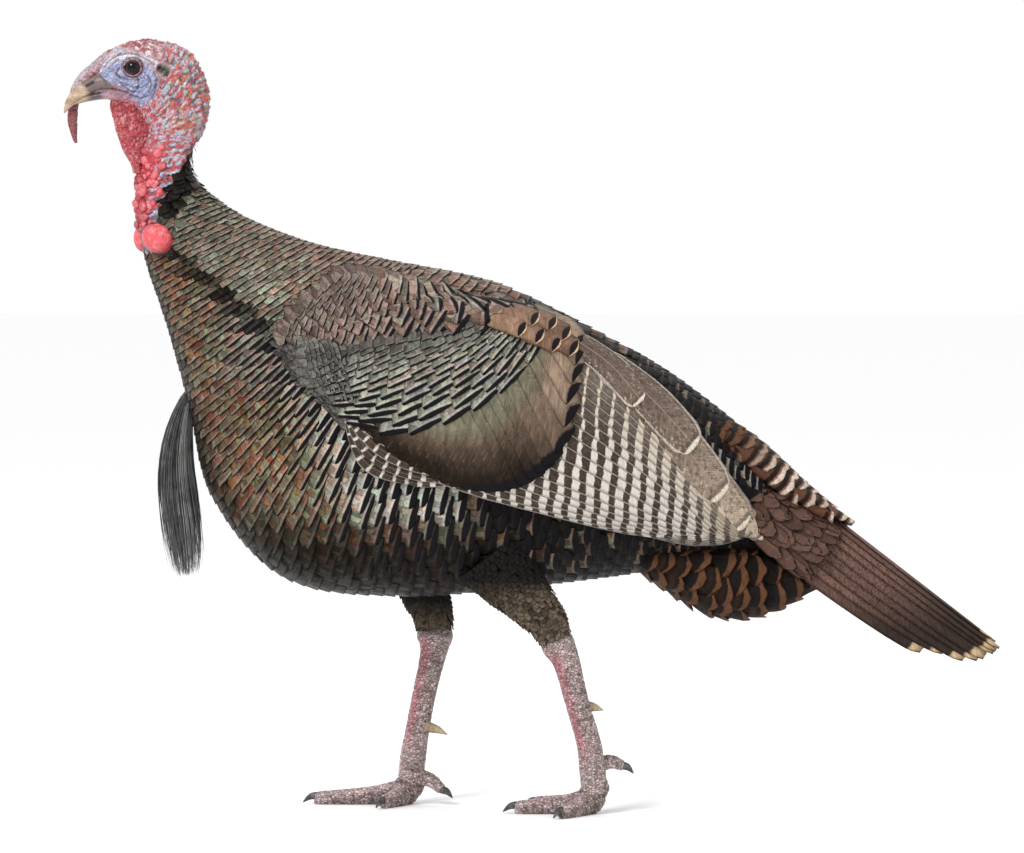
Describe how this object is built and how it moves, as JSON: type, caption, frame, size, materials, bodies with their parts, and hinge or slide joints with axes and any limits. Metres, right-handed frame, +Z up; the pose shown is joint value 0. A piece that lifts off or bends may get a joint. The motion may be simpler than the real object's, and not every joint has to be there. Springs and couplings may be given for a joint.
{
  "type": "wild turkey",
  "caption": "Life-size adult male wild turkey in a walking stance, with snood, dewlap, hanging beard, folded wings, spurred legs and a closed, lowered tail.",
  "frame": {"origin": "on the floor, under the middle of the bird's length and width", "axes": "+X towards the tail, so the bird faces -X; +Y towards its right side; +Z up"},
  "size_m": [0.9334, 0.2724, 0.7731],
  "materials": {
    "bare_skin": "matte, wrinkled bare skin, pale blue to pink",
    "red_flesh": "moist satin, beaded",
    "horn": "satin horn",
    "claw": "satin horn",
    "eye": "wet gloss",
    "body_plumage": "iridescent satin feathers",
    "wing_plumage": "satin feathers, barred",
    "tail_plumage": "satin feathers, finely barred",
    "beard_bristle": "dull bristles",
    "leg_scales": "satin scutes"
  },
  "bodies": {
    "root": {"head": "bare_skin", "neck": "body_plumage", "trunk": "body_plumage", "eye_left": "eye", "eye_right": "eye", "bill_upper": "horn", "bill_lower": "horn", "snood": "red_flesh", "dewlap": "red_flesh", "caruncles": "red_flesh", "caruncle_lobe_left": "red_flesh", "caruncle_lobe_right": "red_flesh", "beard": "beard_bristle", "wing_left": "wing_plumage", "wing_right": "wing_plumage", "tail": "tail_plumage", "tail_coverts_upper": "tail_plumage", "tail_coverts_under": "tail_plumage", "thigh_left": "body_plumage", "shank_left": "leg_scales", "foot_left": "leg_scales", "claw_1_left": "claw", "claw_2_left": "claw", "claw_3_left": "claw", "claw_4_left": "claw", "spur_left": "horn", "thigh_right": "body_plumage", "shank_right": "leg_scales", "foot_right": "leg_scales", "claw_1_right": "claw", "claw_2_right": "claw", "claw_3_right": "claw", "claw_4_right": "claw", "spur_right": "horn"}
  },
  "joints": []
}
